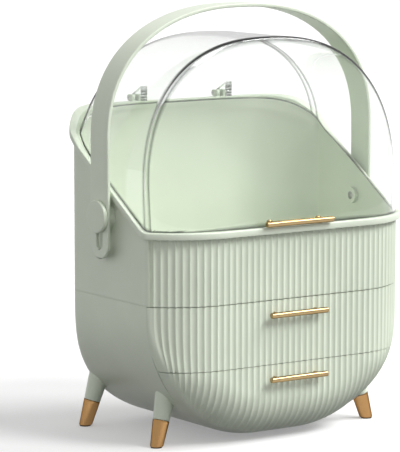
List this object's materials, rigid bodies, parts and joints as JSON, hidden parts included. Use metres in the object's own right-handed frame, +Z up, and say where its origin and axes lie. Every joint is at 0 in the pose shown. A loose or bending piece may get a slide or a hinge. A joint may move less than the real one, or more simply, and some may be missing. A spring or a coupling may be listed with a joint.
{
  "type": "cosmetics organizer with drawers",
  "caption": "Round-bottomed fluted box on splayed legs, with bow-fronted drawers, an open compartment under a clear arched lid, and an arched strap carry handle.",
  "frame": {"origin": "centre of the footprint at floor level, below the middle of the body", "axes": "+X to the right seen from the front, the drawers open along -Y, +Z up"},
  "size_m": [0.3298, 0.2158, 0.421],
  "materials": {
    "housing_plastic": "pale sage green, satin moulded ABS",
    "drawer_plastic": "pale sage green, satin moulded ABS",
    "tray_plastic": "pale sage green, matt moulded polypropylene",
    "tub_plastic": "pale sage green, satin moulded ABS",
    "handle_plastic": "pale sage green, satin moulded ABS",
    "spacer_plastic": "sage green, satin",
    "leg_plastic": "pale sage green, satin",
    "glide_plastic": "white, matt",
    "clear_acrylic": "clear, polished",
    "gold_metal": "pale gold, satin",
    "copper_metal": "copper gold, satin",
    "pad_rubber": "black, matt",
    "steel": "zinc plated"
  },
  "bodies": {
    "box": {"drawer_housing": "housing_plastic", "drawer_shelf": "tray_plastic", "top_tub": "tub_plastic", "pivot_spacer_left": "spacer_plastic", "pivot_spacer_right": "spacer_plastic", "rim_hinge_left": "spacer_plastic", "rim_hinge_right": "spacer_plastic", "lower_drawer_glides": "glide_plastic", "leg_tip_front_left": "copper_metal", "leg_tip_front_right": "copper_metal", "leg_tip_back_left": "copper_metal", "leg_tip_back_right": "copper_metal", "leg_sleeve_front_left": "leg_plastic", "leg_sleeve_front_right": "leg_plastic", "leg_sleeve_back_left": "leg_plastic", "leg_sleeve_back_right": "leg_plastic", "foot_pad_front_left": "pad_rubber", "foot_pad_front_right": "pad_rubber", "foot_pad_back_left": "pad_rubber", "foot_pad_back_right": "pad_rubber", "tub_screws": "steel", "rim_hinge_screws": "steel", "leg_bolts": "steel", "hinge_pin_left": "steel", "hinge_pin_right": "steel"},
    "handle_pivots": {"pivot_pin_left": "steel", "pivot_pin_right": "steel", "pivot_button_left": "handle_plastic", "pivot_button_right": "handle_plastic", "pivot_nut_left": "steel", "pivot_nut_right": "steel"},
    "handle": {"carry_handle": "handle_plastic"},
    "lid": {"lid_shell": "clear_acrylic", "lid_bar": "gold_metal", "lid_bar_posts": "gold_metal", "lid_bar_screws": "steel", "lid_hinge_left": "clear_acrylic", "lid_hinge_right": "clear_acrylic"},
    "lower_drawer": {"lower_drawer_front": "drawer_plastic", "lower_drawer_tray": "tray_plastic", "lower_drawer_bar": "gold_metal", "lower_drawer_bar_posts": "gold_metal", "lower_drawer_bar_screws": "steel"},
    "upper_drawer": {"upper_drawer_front": "drawer_plastic", "upper_drawer_tray": "tray_plastic", "upper_drawer_bar": "gold_metal", "upper_drawer_bar_posts": "gold_metal", "upper_drawer_bar_screws": "steel"}
  },
  "joints": [
    {"name": "handle_swing", "type": "hinge", "parent": "box", "child": "handle_pivots", "pos_m": [0, 0.003, 0.221], "axis": [-1, 0, 0], "range_deg": [0, 110]},
    {"name": "handle_lift", "type": "slide", "parent": "handle_pivots", "child": "handle", "axis": [0, 0, 1], "range_m": [0, 0.026]},
    {"name": "lid_hinge", "type": "hinge", "parent": "box", "child": "lid", "pos_m": [0, 0.10475, 0.3238], "axis": [-1, 0, 0], "range_deg": [0, 66]},
    {"name": "lower_drawer_slide", "type": "slide", "parent": "box", "child": "lower_drawer", "axis": [0, -1, 0], "range_m": [0, 0.14]},
    {"name": "upper_drawer_slide", "type": "slide", "parent": "box", "child": "upper_drawer", "axis": [0, -1, 0], "range_m": [0, 0.13]}
  ],
  "couplings": [
    {"joint": "lid_hinge", "follows": "handle_swing", "ratio": 0.6}
  ]
}
